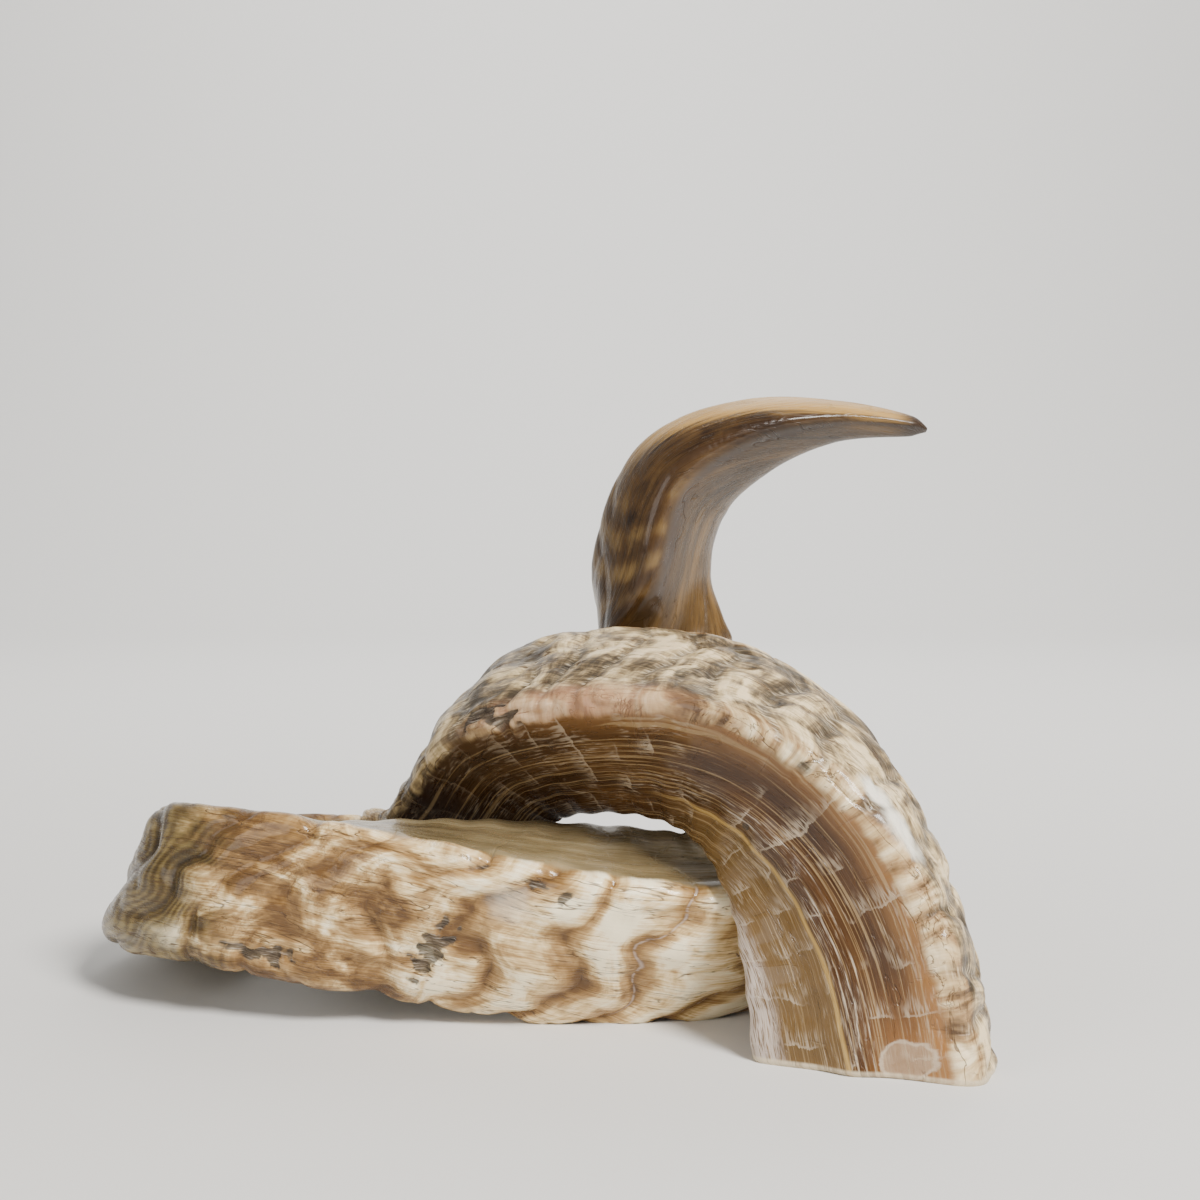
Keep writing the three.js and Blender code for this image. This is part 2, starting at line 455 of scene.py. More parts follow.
# %% The relief tree and its inputs
material = bpy.data.materials.new("polished_horn")
relief_tree = bpy.data.node_groups.new("growth_relief", "GeometryNodeTree")
relief_tree.interface.new_socket("Geometry", in_out="INPUT", socket_type="NodeSocketGeometry")
relief_tree.interface.new_socket("Geometry", in_out="OUTPUT", socket_type="NodeSocketGeometry")
RELIEF_INPUTS = {
    "Wrinkle Height": ("wrinkle", WRINKLE_HEIGHT),
    "Dent Height": ("fine", DENT_HEIGHT),
    "Step Height": ("step", SIDE_STEP_HEIGHT),
    "Pit Depth": ("pit", -PIT_DEPTH),
}
for title in RELIEF_INPUTS:
    relief_tree.interface.new_socket(title, in_out="INPUT", socket_type="NodeSocketFloat")
print("inputs:", ", ".join(RELIEF_INPUTS))


# %% Helpers for the relief tree
def relief_node(kind, operation=None, **links):
    """Adds a node to the relief tree; links go to its inputs by number, as in_0, in_1."""
    node = relief_tree.nodes.new(kind)
    if operation:
        node.operation = operation
    for place, value in links.items():
        socket = node.inputs[int(place.removeprefix("in_"))]
        if isinstance(value, bpy.types.NodeSocket):
            relief_tree.links.new(value, socket)
        else:
            socket.default_value = value
    return node


def relief_math(operation, a, b):
    return relief_node("ShaderNodeMath", operation, in_0=a, in_1=b).outputs[0]


def relief_layer(name):
    node = relief_node("GeometryNodeInputNamedAttribute", in_0=name)
    node.data_type = "FLOAT"
    return node.outputs["Attribute"]


# %% Lift the points, rest them on the table and close the tree
group_in = relief_node("NodeGroupInput")
lift = None
for title, (layer_name, _) in RELIEF_INPUTS.items():
    part = relief_math("MULTIPLY", relief_layer(layer_name), group_in.outputs[title])
    lift = part if lift is None else relief_math("ADD", lift, part)
lift = relief_math("MULTIPLY", lift, relief_layer("settled"))
normal = relief_node("GeometryNodeInputNormal").outputs[0]
offset = relief_node("ShaderNodeVectorMath", "SCALE", in_0=normal, in_3=lift).outputs[0]
skin_in = group_in.outputs["Geometry"]
raised = relief_node("GeometryNodeSetPosition", in_0=skin_in, in_3=offset).outputs[0]

position = relief_node("GeometryNodeInputPosition").outputs[0]
parts = relief_node("ShaderNodeSeparateXYZ", in_0=position).outputs
above = relief_math("MAXIMUM", parts[2], 0.0)
rested = relief_node("ShaderNodeCombineXYZ", in_0=parts[0], in_1=parts[1], in_2=above).outputs[0]
on_table = relief_node("GeometryNodeSetPosition", in_0=raised, in_2=rested).outputs[0]
realized = relief_node("GeometryNodeRealizeInstances", in_0=on_table).outputs[0]
finished = relief_node("GeometryNodeSetMaterial", in_0=realized)
finished.inputs["Material"].default_value = material
relief_node("NodeGroupOutput", in_0=finished.outputs[0])
print("relief tree nodes:", len(relief_tree.nodes))

# %% [markdown]
# ## One plain mesh
#
# The modifier's result is taken as a mesh of its own and the modifier goes, so that what is seen
# is exactly what is handed on. The rim of the saw cut is the only sharp edge of the horn, and it
# is marked as one: otherwise the shading would run round the corner, and the cut would look like
# melted wax.

# %% Apply the relief
modifier = horn.modifiers.new("growth_relief", "NODES")
modifier.node_group = relief_tree
for item in relief_tree.interface.items_tree:
    if item.in_out == "INPUT" and item.name in RELIEF_INPUTS:
        modifier[item.identifier] = RELIEF_INPUTS[item.name][1]
evaluated = horn.evaluated_get(bpy.context.evaluated_depsgraph_get())
mesh = bpy.data.meshes.new_from_object(evaluated)
horn.modifiers.clear()
horn.data = mesh
print(f"{len(mesh.vertices)} points and {len(mesh.polygons)} faces after the relief")

# %% Sharpen the sawn rim and hand the horn over
TABLE_GAP = 1e-6  # metres
SHARP_ANGLE = 0.5  # radians
builder = bmesh.new()
builder.from_mesh(mesh)
print("volume in litres:", round(builder.calc_volume(signed=True) * 1000, 3))
for edge in builder.edges:
    on_cut = all(vertex.co.z < TABLE_GAP for vertex in edge.verts)
    if on_cut and edge.is_manifold and edge.calc_face_angle(0) > SHARP_ANGLE:
        edge.smooth = False
builder.to_mesh(mesh)
builder.free()
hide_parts("horn")
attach(horn, "root")

# %% [markdown]
# ## Colour and finish
#
# Polished horn is a clear brown keratin. Where the wrinkles were worn down it turns cream and
# opaque, and it stays brown in the valleys. The nodes below read the numbers stored on the mesh:
# how far along, how far round, and which face it is. Noise that is stretched along the horn gives
# the fibres, and a saw-tooth across it gives the growth lines of the side faces. A painted texture
# could do the same, but the whole curl would have to be laid flat for it first.

# %% Start of the material
material.use_nodes = True
tree = material.node_tree
tree.nodes.clear()
output = tree.nodes.new("ShaderNodeOutputMaterial")
surface = tree.nodes.new("ShaderNodeBsdfPrincipled")
tree.links.new(surface.outputs["BSDF"], output.inputs["Surface"])


def plug(socket, value):
    """Links a node's output to a socket, or sets a plain number or colour on it."""
    if isinstance(value, bpy.types.NodeSocket):
        tree.links.new(value, socket)
    elif isinstance(value, (tuple, list)):
        socket.default_value = (*value, 1.0)
    else:
        socket.default_value = value


def stored(name):
    node = tree.nodes.new("ShaderNodeAttribute")
    node.attribute_name = name
    node.label = name
    return node.outputs["Fac"]


def count(step):
    """Prints how many nodes the material has after a step."""
    print(f"{step}: {len(tree.nodes)} nodes")


count("start of the material")


# %% Helpers: sums with nodes
def math_node(operation, a, b=0.0):
    node = tree.nodes.new("ShaderNodeMath")
    node.operation = operation
    plug(node.inputs[0], a)
    plug(node.inputs[1], b)
    return node.outputs[0]


def chained(operation, values):
    result = values[0]
    for value in values[1:]:
        result = math_node(operation, result, value)
    return result


def add(*terms):
    return chained("ADD", terms)


def times(*factors):
    return chained("MULTIPLY", factors)


def largest(*values):
    return chained("MAXIMUM", values)


def swing(noise_value, amount):
    """Noise moved to lie round zero, and made the given amount strong."""
    return times(add(noise_value, -0.5), amount)


def stripes(value, per_unit=1):
    """A wave from 0 to 1 that repeats per_unit times while value grows by 1."""
    return times(add(math_node("SINE", times(value, 2 * math.pi * per_unit)), 1.0), 0.5)


def remap(value, low, high, new_low=0.0, new_high=1.0):
    """A smooth step from new_low at low to new_high at high; low may be the larger."""
    node = tree.nodes.new("ShaderNodeMapRange")
    node.interpolation_type = "SMOOTHSTEP"
    plug(node.inputs["Value"], value)
    backwards = low > high
    node.inputs["From Min"].default_value = high if backwards else low
    node.inputs["From Max"].default_value = low if backwards else high
    node.inputs["To Min"].default_value = new_high if backwards else new_low
    node.inputs["To Max"].default_value = new_low if backwards else new_high
    return node.outputs["Result"]


def thin_line(value, middle, half_width):
    """1 where value is close to middle, falling to 0 half_width away."""
    away = math_node("ABSOLUTE", add(value, -middle))
    return remap(away, half_width, 0.0)


# %% Numbers stored on the mesh
# Along and around are in millimetres, share runs from 0 at the base to 1 at the tip.
ALONG = stored("along")
AROUND = stored("around")
SIDEWAYS = stored("sideways")
SHARE = stored("share")
OUTER = stored("outer")
CREST = stored("crest")
SWELL = stored("swell")
CYCLES = stored("cycles")
FINE = stored("fine")
PIT = stored("pit")
print("layers read by the material:", len(tree.nodes) - 2)


# %% Helpers: noise, patches and colours
def noisy(size_along, size_around, seed, detail=3.0, rough=0.55, bend=0.0, lengthwise=None):
    """Noise on the skin whose lumps are the given millimetres long and wide.

    Each seed picks another slice of the noise. With CYCLES as lengthwise the lumps lie along the
    wrinkles, and their length is in wrinkles."""
    spot = tree.nodes.new("ShaderNodeCombineXYZ")
    plug(spot.inputs[0], times(lengthwise or ALONG, 1 / size_along))
    plug(spot.inputs[1], times(AROUND, 1 / size_around))
    spot.inputs[2].default_value = seed
    node = tree.nodes.new("ShaderNodeTexNoise")
    plug(node.inputs["Vector"], spot.outputs[0])
    node.inputs["Scale"].default_value = 1.0
    node.inputs["Detail"].default_value = detail
    node.inputs["Roughness"].default_value = rough
    node.inputs["Distortion"].default_value = bend
    return node.outputs["Fac"]


RAGGED = noisy(5, 4, 4.4, detail=4, rough=0.6)


def patch(along, around, half_length, half_width, ragged=0.25, soft=0.5):
    """A ragged oval patch on the skin at a place given in millimetres."""
    dx = times(add(ALONG, -along), 1 / half_length)
    dy = times(add(AROUND, -around), 1 / half_width)
    away = math_node("SQRT", add(times(dx, dx), times(dy, dy)))
    return remap(add(away, swing(RAGGED, 4 * ragged)), 1.0 + soft, 1.0 - soft)


def blend_colours(fraction, a, b):
    node = tree.nodes.new("ShaderNodeMix")
    node.data_type = "RGBA"
    plug(node.inputs[0], fraction)
    plug(node.inputs[6], a)
    plug(node.inputs[7], b)
    return node.outputs[2]


def palette(value, *stops):
    """Colours by value: each stop is a place from 0 to 1 and a colour."""
    node = tree.nodes.new("ShaderNodeValToRGB")
    plug(node.inputs["Fac"], value)
    elements = node.color_ramp.elements
    while len(elements) < len(stops):
        elements.new(1.0)
    for element, (position, colour) in zip(elements, stops):
        element.position = position
        element.color = (*colour, 1.0)
    return node.outputs["Color"]


count("helpers: noise, patches and colours")

# %% [markdown]
# ### The wrinkled outer face
#
# Cream on the backs of the wrinkles, tan and golden brown in the valleys, with fine brown fibres
# along the horn. Near the base the face is whiter and its valleys are grey, because the outermost
# layer has weathered there. One number says how far down the surface was rubbed at each point,
# and it adds painted light to the arch's right leg. Each stretch of the horn has a palette of its
# own for it.

# %% Noise for the outer face
mottle = noisy(19, 12, 1.7, detail=4, bend=0.6)
clouds = noisy(60, 30, 8.1, detail=2)
fibres = noisy(11, 0.55, 5.2, detail=3)
streaks = noisy(26, 1.6, 7.7, detail=3)
splinters = noisy(5, 0.7, 19.2, detail=2)
across = noisy(0.24, 16, 14.6, detail=4, rough=0.62, lengthwise=CYCLES)
growth_lines = stripes(CYCLES, per_unit=6)
count("noise for the outer face")

# %% How far down it was rubbed, and painted light on the arch's right leg
# Places along the horn as shares of its length: where one stretch passes into the next.
COIL_TO_ARCH = (0.36, 0.29)
BACK_TO_FRONT = (0.55, 0.61)

on_arch = remap(SHARE, *COIL_TO_ARCH)
wear_and_painted_light = add(
    remap(SHARE, 0.54, 0.58, 0.41, 0.535),
    times(SWELL, remap(SHARE, *BACK_TO_FRONT, 0.13, 0.30)),
    times(FINE, 0.12),
    swing(mottle, remap(SHARE, *BACK_TO_FRONT, 2.4, 1.1)),
    swing(clouds, 0.7),
    swing(streaks, 0.25),
    swing(fibres, 0.45),
    swing(splinters, remap(SHARE, *COIL_TO_ARCH, 0.25, 0.7)),
    swing(across, remap(SHARE, *COIL_TO_ARCH, 0.9, 1.7)),
    # Painted light: the two terms below make the arch's right leg, which faces the lamp, lighter
    # than its left leg and the rest of the horn, and lighter still just above the base.
    remap(SHARE, 0.17, 0.25, 0.0, -0.12),
    remap(SHARE, 0.12, 0.07, 0.0, 0.08),
)
count("how far down it was rubbed")

# %% Colours of the coil and of the weathered arch
coil_face = palette(
    wear_and_painted_light,
    (0.02, (0.120, 0.060, 0.019)),
    (0.25, (0.250, 0.140, 0.048)),
    (0.44, (0.43, 0.270, 0.110)),
    (0.60, (0.74, 0.545, 0.280)),
    (0.80, (0.97, 0.85, 0.59)),
)
weathered = palette(
    add(wear_and_painted_light, 0.05),
    (0.05, (0.050, 0.036, 0.021)),
    (0.28, (0.125, 0.090, 0.050)),
    (0.46, (0.25, 0.182, 0.098)),
    (0.64, (0.46, 0.345, 0.180)),
    (0.92, (0.78, 0.62, 0.37)),
)
outer_colour = blend_colours(on_arch, coil_face, weathered)
count("colours of the coil and of the weathered arch")

# %% Knobs along the arch's crest, and the dull ringed left end
knobs = palette(
    add(swing(mottle, 1.4), swing(across, 1.6), times(SWELL, 0.06), 0.46),
    (0.15, (0.110, 0.060, 0.026)),
    (0.36, (0.36, 0.220, 0.100)),
    (0.56, (0.60, 0.43, 0.225)),
    (0.82, (0.86, 0.73, 0.48)),
)
arch_crest = times(on_arch, remap(CREST, 0.1, 0.7), remap(SHARE, 0.25, 0.19))
outer_colour = blend_colours(times(arch_crest, 0.85), outer_colour, knobs)

before_front = remap(add(SHARE, swing(mottle, 0.05)), 0.512, 0.490)
dull_end = times(remap(SHARE, 0.36, 0.43), before_front)
ringed = palette(
    add(times(growth_lines, 0.22), times(add(streaks, mottle), 0.40), times(SWELL, 0.10)),
    (0.25, (0.020, 0.013, 0.004)),
    (0.50, (0.070, 0.046, 0.014)),
    (0.75, (0.20, 0.145, 0.052)),
)
outer_colour = blend_colours(times(dull_end, 0.9), outer_colour, ringed)
count("knobs along the arch's crest, and the dull ringed left end")

# %% [markdown]
# ### Cracks, pits and patches
#
# Dry horn opens along its fibres. Thin dark cracks cross the coil, a net of finer ones covers the
# crest, and the valleys of the arch are packed with splinters. A few marks have a place of their
# own, such as the pale plates near the base and the dark pits. Modelling every crack would cost
# too many faces, so the colour and a slight bump carry the finest ones.

# %% Cracks
CRACK_BROWN = (0.075, 0.035, 0.012)
crack = times(
    thin_line(noisy(46, 5.5, 12.9, detail=3.5, bend=0.35), 0.47, 0.011),
    remap(noisy(24, 14, 2.2, detail=1), 0.40, 0.50),
)
dashes = times(remap(noisy(7, 0.6, 15.3, detail=1), 0.66, 0.72), remap(mottle, 0.52, 0.42))
valley_line = times(
    remap(SWELL, -0.72, -0.95),
    remap(noisy(14, 9, 9.9, detail=2), 0.45, 0.60),
)
crazing = times(
    thin_line(noisy(7, 5, 41.3, detail=4, bend=1.2), 0.5, 0.022),
    remap(noisy(18, 12, 43.8, detail=1), 0.48, 0.56),
)
back_of_coil = times(remap(SHARE, 0.60, 0.56), remap(SHARE, 0.40, 0.45))
crazing = times(crazing, largest(arch_crest, times(back_of_coil, 0.45)))
dark_marks = largest(crack, times(dashes, 0.8), times(valley_line, 0.6), crazing)
outer_colour = blend_colours(times(dark_marks, 0.8), outer_colour, CRACK_BROWN)
count("cracks")

# %% Splintered valleys of the arch, and painted highlight lines in the coil's folds
fissured = times(
    on_arch,
    OUTER,
    remap(SWELL, 0.15, -0.65),
    remap(noisy(16, 9, 23.5, detail=3), 0.36, 0.48),
)
fissures = palette(
    splinters,
    (0.34, (0.050, 0.038, 0.024)),
    (0.50, (0.17, 0.128, 0.074)),
    (0.66, (0.64, 0.54, 0.38)),
)
outer_colour = blend_colours(times(fissured, 0.65), outer_colour, fissures)

# Painted highlight: thin pale grey lines in the wrinkle valleys of the front coil stand for light
# caught at the folds.
FOLD_HIGHLIGHT = (0.66, 0.55, 0.50)
fold_highlight_gate = remap(noisy(9, 2.5, 37.7, detail=2), 0.42, 0.55)
fold_highlight = times(thin_line(math_node("FRACT", CYCLES), 0.5, 0.022), remap(SHARE, 0.635, 0.645))
outer_colour = blend_colours(times(fold_highlight, fold_highlight_gate, 0.4), outer_colour, FOLD_HIGHLIGHT)
count("splintered valleys of the arch, and pale fold lines of the coil")

# %% Marks with a place of their own
BLUSH = (0.46, 0.24, 0.13)
IVORY_AND_HIGHLIGHT = (0.97, 0.91, 0.77)
blush = patch(178, 27, 34, 7, ragged=0.1)
outer_colour = blend_colours(times(blush, 0.6), outer_colour, BLUSH)
# The two patches near the base are pale ivory plates; the weaker one on the coil is a painted
# highlight on a crest.
ivory_and_highlight = largest(patch(77, 18, 7, 5), patch(88, 17, 5, 4), times(patch(587, 17, 7, 6), 0.3))
outer_colour = blend_colours(times(ivory_and_highlight, 0.9), outer_colour, IVORY_AND_HIGHLIGHT)
pit_colour = palette(
    splinters,
    (0.36, (0.016, 0.013, 0.010)),
    (0.56, (0.080, 0.066, 0.052)),
    (0.74, (0.34, 0.30, 0.25)),
)
pitted = remap(add(PIT, swing(RAGGED, 1.6)), 0.50, 1.05)
outer_colour = blend_colours(times(pitted, 0.85), outer_colour, pit_colour)
count("marks with a place of their own")

# %% [markdown]
# ### The side faces
#
# Brown and clearer, with many pale hairlines along the horn. Across them run whitish growth lines
# that fray into short hairs on one side, as the layers of keratin lift there. A saw-tooth makes
# them: it jumps at each line and then runs down slowly, so the line is sharp on one side and the
# hairs fade out on the other.

# %% Noise and growth lines of the side faces
tone = noisy(48, 8, 3.9, detail=3)
hairs = noisy(70, 0.5, 9.4, detail=2)
strokes = noisy(5.5, 0.34, 2.6, detail=1.5)
wander = noisy(34, 13, 6.1, detail=2)

# This grows by 1 from one growth line to the next. The lines bow on the panel beside the outer
# face, lie about half a step further on the panel beside the inner edge, and waver on both.
inner_panel = remap(AROUND, 46.5, 49.5)
bulge = times(add(AROUND, -37), add(AROUND, -37), -0.0012)
line_place = add(
    times(ALONG, remap(SHARE, 0.34, 0.44, 1 / 15.0, 1 / 7.5)),
    times(inner_panel, 0.45),
    times(bulge, remap(AROUND, 50, 46)),
    swing(wander, 0.8),
    swing(strokes, 0.05),
    swing(noisy(6, 3.5, 31.4, detail=2), 0.16),
)

saw = math_node("FRACT", line_place)
line_gate = remap(noisy(14, 7, 7.3, detail=2), 0.43, 0.59)
line_gate = times(line_gate, remap(SHARE, 0.18, 0.24, 1.0, 0.35))
line = times(remap(saw, 0.075, 0.03), remap(saw, 0.0, 0.02), line_gate)
fringe = times(remap(saw, 0.60, 0.02), remap(strokes, 0.44, 0.58), line_gate)
loose = times(remap(strokes, 0.54, 0.70), remap(noisy(26, 10, 3.3, detail=1), 0.44, 0.58))
count("noise and growth lines of the side faces")

# %% Browns of the side faces
OLIVE = (0.17, 0.100, 0.030)
AMBER = (0.38, 0.165, 0.044)
RIDGE_GLOW = (0.33, 0.160, 0.055)
SHADE = (0.018, 0.008, 0.004)
arch_side = palette(
    add(tone, swing(hairs, 0.3)),
    (0.30, (0.040, 0.016, 0.005)),
    (0.50, (0.066, 0.028, 0.008)),
    (0.70, (0.125, 0.060, 0.018)),
)
olive = times(inner_panel, remap(SHARE, 0.17, 0.10), 0.65)
arch_side = blend_colours(olive, arch_side, OLIVE)
amber = patch(12, 30, 20, 11, ragged=0.1, soft=0.8)
arch_side = blend_colours(times(amber, 0.5), arch_side, AMBER)
ridge_glow = times(thin_line(AROUND, 28, 4), remap(SHARE, 0.26, 0.20), 0.6)
arch_side = blend_colours(ridge_glow, arch_side, RIDGE_GLOW)
# Painted shade: the side faces where the arch turns down into its left leg are darkened.
under_arch_shade = times(remap(SHARE, 0.16, 0.24), remap(SHARE, 0.36, 0.30))
arch_side = blend_colours(times(under_arch_shade, 0.6), arch_side, SHADE)
coil_side = palette(
    add(tone, swing(streaks, 0.4)),
    (0.28, (0.088, 0.061, 0.026)),
    (0.50, (0.19, 0.142, 0.070)),
    (0.72, (0.33, 0.26, 0.145)),
)
side_colour = blend_colours(remap(SHARE, 0.30, 0.42), arch_side, coil_side)
count("browns of the side faces")

# %% Pale hairs and growth lines
HAIR_TAN = (0.36, 0.25, 0.125)
LINE_CREAM = (0.62, 0.51, 0.37)
pale_hairs = times(remap(hairs, 0.54, 0.66), remap(SHARE, 0.36, 0.28, 0.25, 0.55))
side_colour = blend_colours(pale_hairs, side_colour, HAIR_TAN)
white = largest(times(line, 0.45), times(fringe, 0.6), times(loose, 0.32))
white = times(white, remap(SHARE, 0.34, 0.42, 1.0, 0.45))
side_colour = blend_colours(times(white, 0.8), side_colour, LINE_CREAM)
count("pale hairs and growth lines")

# %% Strands, and a painted sheen on the rim of the inner edge
GOLDEN = (0.52, 0.33, 0.09)
STRAND_CREAM = (0.62, 0.52, 0.40)
RIM_SHEEN = (0.58, 0.49, 0.43)

# The two panels meet in a golden line, and a few pale strands run beside it.
drift = add(AROUND, swing(wander, 3.0))
golden = times(thin_line(drift, 48.0, 1.0), remap(SHARE, 0.17, 0.11))
side_colour = blend_colours(times(golden, 0.7), side_colour, GOLDEN)
strands = add(
    thin_line(drift, 45.6, 0.5),
    thin_line(drift, 43.4, 0.45),
    thin_line(drift, 40.8, 0.4),
)
strands = times(strands, remap(SHARE, 0.19, 0.12), remap(noisy(20, 3, 11.6, detail=1), 0.40, 0.55))
strands = times(strands, remap(strokes, 0.4, 0.6), 0.6)
side_colour = blend_colours(strands, side_colour, STRAND_CREAM)
# Painted sheen: a pale streaky band along the rounded inner edge of the arch stands for light
# caught on its curve.
inner_rim_sheen = times(remap(AROUND, 64, 70), remap(SHARE, 0.26, 0.18))
inner_rim_sheen = times(inner_rim_sheen, remap(strokes, 0.30, 0.55), 0.8)
side_colour = blend_colours(inner_rim_sheen, side_colour, RIM_SHEEN)
count("strands and rim of the inner edge")

# %% A flake and a speck near the base
FLAKE_AT = (16, 34)
FLAKE_DARK = (0.24, 0.15, 0.08)
FLAKE_PALE = (0.62, 0.50, 0.36)
FLAKE_EDGE = (0.68, 0.58, 0.45)
SPECK = (0.03, 0.015, 0.008)
flake = patch(*FLAKE_AT, 7, 6.2, ragged=0.15, soft=0.05)
flake_inside = patch(*FLAKE_AT, 6.1, 5.4, ragged=0.15, soft=0.05)
flake_edge = add(flake, times(flake_inside, -1.0))
flake_colour = blend_colours(RAGGED, FLAKE_DARK, FLAKE_PALE)
side_colour = blend_colours(times(flake, 0.5), side_colour, flake_colour)
side_colour = blend_colours(times(flake_edge, 0.35), side_colour, FLAKE_EDGE)
speck = patch(103, 44.5, 1.6, 1.0, ragged=0.4, soft=0.2)
side_colour = blend_colours(speck, side_colour, SPECK)
count("a flake and a speck near the base")

# %% [markdown]
# ### The tip
#
# The youngest horn is dark brown with darker bands, with a painted golden glow for the light that
# comes through its thin outer edge, and almost black at its very end.

# %% Colours of the tip
arcs = add(times(ALONG, 1 / 12.0), times(AROUND, AROUND, -0.0016), times(mottle, 0.5))
tip_bands = times(stripes(arcs), remap(SHARE, 0.90, 0.88), 0.22)
tip_outer = palette(
    add(tip_bands, times(mottle, 0.9), swing(streaks, 0.5)),
    (0.30, (0.020, 0.009, 0.003)),
    (0.55, (0.072, 0.037, 0.011)),
    (0.82, (0.20, 0.125, 0.045)),
)
# Painted glow: the golden edge on the near side of the tip stands for light coming through it.
GOLD_DARK = (0.30, 0.155, 0.035)
GOLD_PALE = (0.60, 0.37, 0.11)
gold_edge = add(SIDEWAYS, times(add(SHARE, -0.90), 8.0), swing(streaks, 0.3))
edge_glow = times(remap(gold_edge, 0.05, 0.25), remap(SHARE, 0.885, 0.915))
edge_glow_colour = blend_colours(streaks, GOLD_DARK, GOLD_PALE)
tip_outer = blend_colours(times(edge_glow, 0.85), tip_outer, edge_glow_colour)
tip_side = palette(
    add(times(tone, 0.7), times(streaks, 0.4)),
    (0.35, (0.022, 0.010, 0.003)),
    (0.55, (0.060, 0.028, 0.005)),
    (0.77, (0.160, 0.082, 0.018)),
)
near_tip = remap(SHARE, 0.74, 0.83)
outer_colour = blend_colours(near_tip, outer_colour, tip_outer)
side_colour = blend_colours(times(near_tip, 0.9), side_colour, tip_side)
count("colours of the tip")

# %% [markdown]
# ### Putting the faces together
#
# The outer face ends in a ragged line where its wrinkled layer has chipped along the crest, so the
# mask between the faces gets some noise too. Painted shade darkens the groove that follows the tip,
# the very end is nearly black, and the sawn edge shows as a thin pale rim just above the table.

# %% One colour for the whole horn
SAWN_RIM = (0.0024, 0.0014)  # heights in metres between which the pale rim sets in
GROOVE_SHADE = (0.030, 0.014, 0.006)
END_BROWN = (0.035, 0.018, 0.008)
SAWN_CREAM = (0.62, 0.52, 0.36)
face_gate = largest(OUTER, times(CREST, 0.9))
ragged_gate = remap(add(face_gate, swing(RAGGED, 0.7)), 0.25, 0.75)
colour = blend_colours(ragged_gate, side_colour, outer_colour)
# Painted shade: the groove along the far side of the tip is darkened.
groove_shade = times(thin_line(SIDEWAYS, -0.43, 0.11), remap(SHARE, 0.80, 0.85))
groove_shade = times(groove_shade, remap(mottle, 0.35, 0.6, 0.5, 1.0))
colour = blend_colours(times(groove_shade, 0.8), colour, GROOVE_SHADE)
colour = blend_colours(remap(SHARE, 0.985, 0.995), colour, END_BROWN)

height = tree.nodes.new("ShaderNodeSeparateXYZ")
plug(height.inputs[0], tree.nodes.new("ShaderNodeTexCoord").outputs["Object"])
sawn = times(remap(height.outputs["Z"], *SAWN_RIM), remap(SHARE, 0.05, 0.04))
sawn = times(sawn, remap(streaks, 0.3, 0.6, 0.4, 0.9))
colour = blend_colours(sawn, colour, SAWN_CREAM)
plug(surface.inputs["Base Color"], colour)
count("one colour for the whole horn")

# %% [markdown]
# ### Gloss and depth
#
# The horn was sanded and polished. A little light enters it before it comes back, which softens
# the cream parts, and a thin clear coat stands for the polish. Weathered valleys, pits and cracks
# were out of the polisher's reach and stay dull.

# %% Finish
FINISH = {
    "Subsurface Weight": 0.06,
    "Subsurface Radius": (0.006, 0.003, 0.0015),
    "IOR": 1.54,
    "Specular IOR Level": 0.22,
    "Coat Weight": 0.25,
    "Coat Roughness": 0.06,
}
for socket_name, value in FINISH.items():
    surface.inputs[socket_name].default_value = value
dullness = add(
    remap(fibres, 0.3, 0.7, 0.24, 0.36),
    times(on_arch, OUTER, 0.14),
    times(pitted, 0.35),
    times(dark_marks, 0.2),
)
plug(surface.inputs["Roughness"], dullness)
count("finish")

# %% Fine bumps
BUMP_STRENGTH = 0.6
BUMP_HEIGHT = 0.0007
bumps = add(
    times(fibres, 0.12),
    times(hairs, 0.12),
    times(white, 0.25),
    times(dark_marks, -0.9),
    times(mottle, 0.6),
    times(across, OUTER, 0.7),
    times(swing(splinters, pitted), 3.0),
    times(growth_lines, OUTER, 0.12),
)
bump = tree.nodes.new("ShaderNodeBump")
bump.inputs["Strength"].default_value = BUMP_STRENGTH
bump.inputs["Distance"].default_value = BUMP_HEIGHT
plug(bump.inputs["Height"], bumps)
tree.links.new(bump.outputs["Normal"], surface.inputs["Normal"])
print("material nodes:", len(tree.nodes))

# %% [markdown]
# ## Floor, light and camera
#
# A plain pale floor that bends up behind the horn without a seam, one large soft light from the
# upper right like a window, weak ones on the left and behind, and one that brightens the backdrop.
# The camera is low and looks almost level, from about half a metre in front of the horn.

# %% Floor
# Sizes in metres, with the horn at the origin.
FLOOR_HALF_WIDTH = 6.0
FLOOR_FRONT = -6.0
BEND_START = 1.4
BEND_RADIUS = 1.2
BEND_STEPS = 24
WALL_TOP = 5.0
FLOOR_GREY = (0.70, 0.69, 0.67, 1)
FLOOR_ROUGHNESS = 0.75

bend = [
    (BEND_START + BEND_RADIUS * math.sin(a), BEND_RADIUS - BEND_RADIUS * math.cos(a))
    for a in np.linspace(0, math.pi / 2, BEND_STEPS)
]
profile = [(FLOOR_FRONT, 0.0), *bend, (BEND_START + BEND_RADIUS, WALL_TOP)]
floor_mesh = bpy.data.meshes.new("floor")
floor_mesh.from_pydata(
    [(x, y, z) for y, z in profile for x in (-FLOOR_HALF_WIDTH, FLOOR_HALF_WIDTH)],
    [],
    [(2 * i, 2 * i + 1, 2 * i + 3, 2 * i + 2) for i in range(len(profile) - 1)],
)
floor = bpy.data.objects.new("floor", floor_mesh)
bpy.context.scene.collection.objects.link(floor)
for polygon in floor_mesh.polygons:
    polygon.use_smooth = True
floor_material = bpy.data.materials.new("pale_floor")
floor_material.use_nodes = True
floor_shader = floor_material.node_tree.nodes["Principled BSDF"]
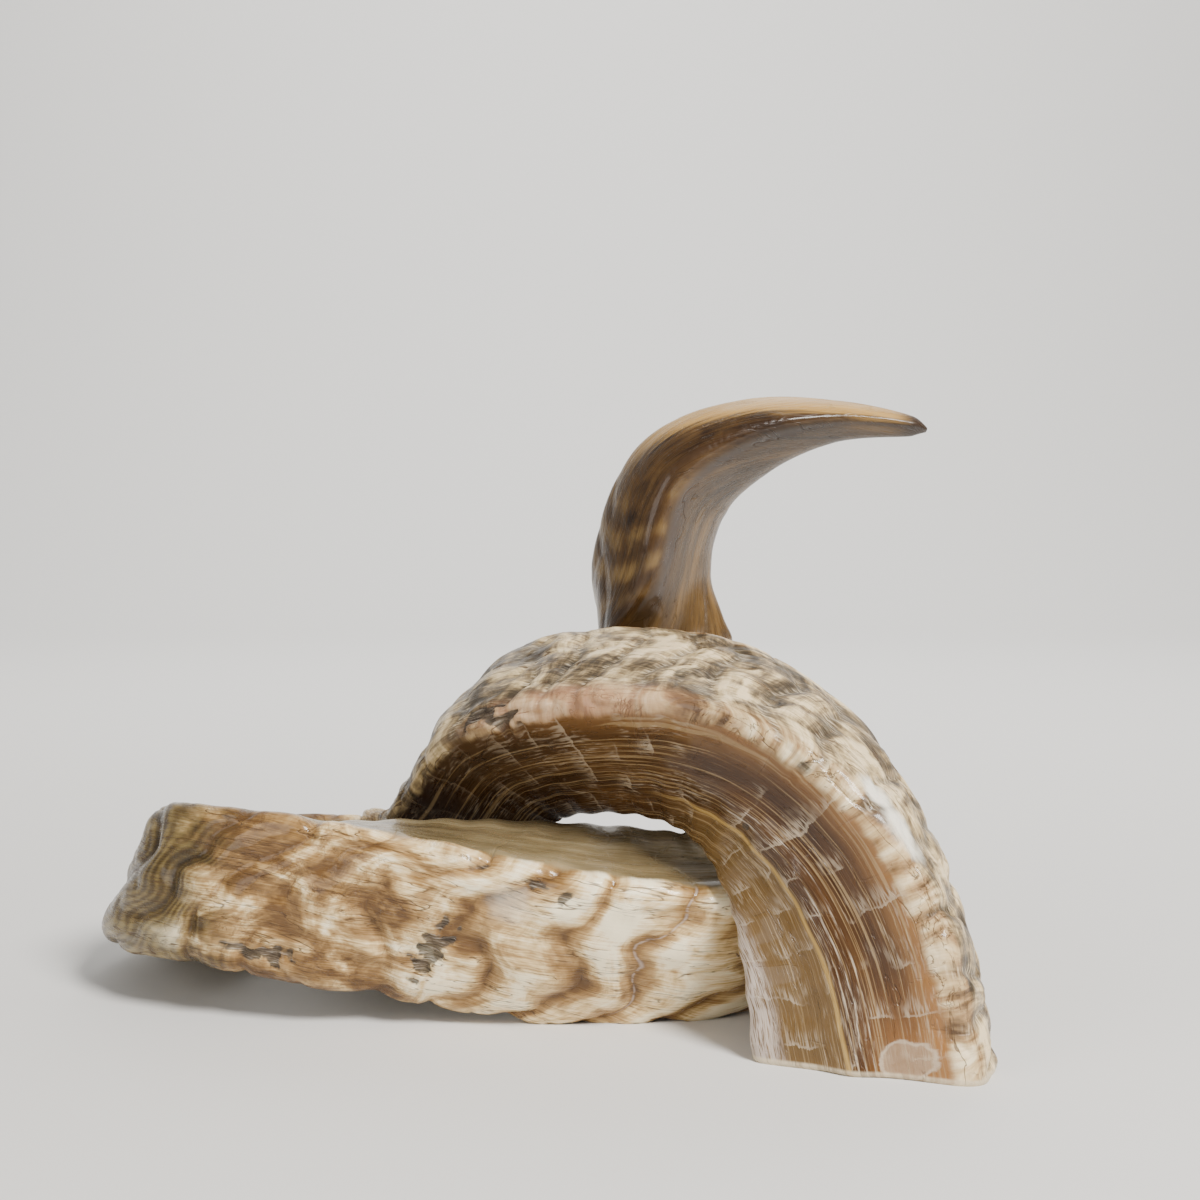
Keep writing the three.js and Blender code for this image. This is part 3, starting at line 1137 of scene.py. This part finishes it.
floor_shader.inputs["Base Color"].default_value = FLOOR_GREY
floor_shader.inputs["Roughness"].default_value = FLOOR_ROUGHNESS
floor.data.materials.append(floor_material)
print("floor profile points:", len(profile))

# %% Lights and surroundings
LIGHTS = [
    # name, place, where it points, diameter in metres, power in watts, colour
    ("window", (1.0, -1.1, 1.5), (0, 0, 0.08), 0.7, 88, (1.0, 0.97, 0.93)),
    ("fill", (-1.4, -1.2, 0.8), (0, 0, 0.08), 1.2, 12, (1.0, 0.98, 0.95)),
    ("back", (0.3, 1.1, 1.5), (0, 0, 0.1), 0.9, 4, (1.0, 0.99, 0.97)),
    ("wall", (0, 0.5, 1.8), (0, 2.6, 1.2), 1.3, 62, (1.0, 1.0, 1.0)),
]
for name, place_at, look_at, diameter, power, tint in LIGHTS:
    data = bpy.data.lights.new(name, "AREA")
    data.shape = "DISK"
    data.size = diameter
    data.energy = power
    data.color = tint
    lamp = bpy.data.objects.new(name, data)
    lamp.location = place_at
    aim = Vector(look_at) - Vector(place_at)
    lamp.rotation_euler = aim.to_track_quat("-Z", "Y").to_euler()
    bpy.context.scene.collection.objects.link(lamp)

STUDIO_GREY = (0.86, 0.86, 0.85, 1)
STUDIO_STRENGTH = 0.42
world = bpy.data.worlds.new("studio")
world.use_nodes = True
background = world.node_tree.nodes["Background"]
background.inputs["Color"].default_value = STUDIO_GREY
background.inputs["Strength"].default_value = STUDIO_STRENGTH
bpy.context.scene.world = world
print("lights:", ", ".join(light[0] for light in LIGHTS))

# %% Camera
CAMERA_AT = (0.02883, -0.62087, 0.1845)
CAMERA_TILT = 86  # degrees up from looking straight down
SENSOR_MM = 36
LENS_MM = 52.3
camera_data = bpy.data.cameras.new("camera")
camera_data.sensor_width = SENSOR_MM
camera_data.lens = LENS_MM
camera = bpy.data.objects.new("camera", camera_data)
camera.location = CAMERA_AT
camera.rotation_euler = (math.radians(CAMERA_TILT), 0, 0)
bpy.context.scene.collection.objects.link(camera)
bpy.context.scene.camera = camera
print("camera lens in mm:", camera_data.lens)
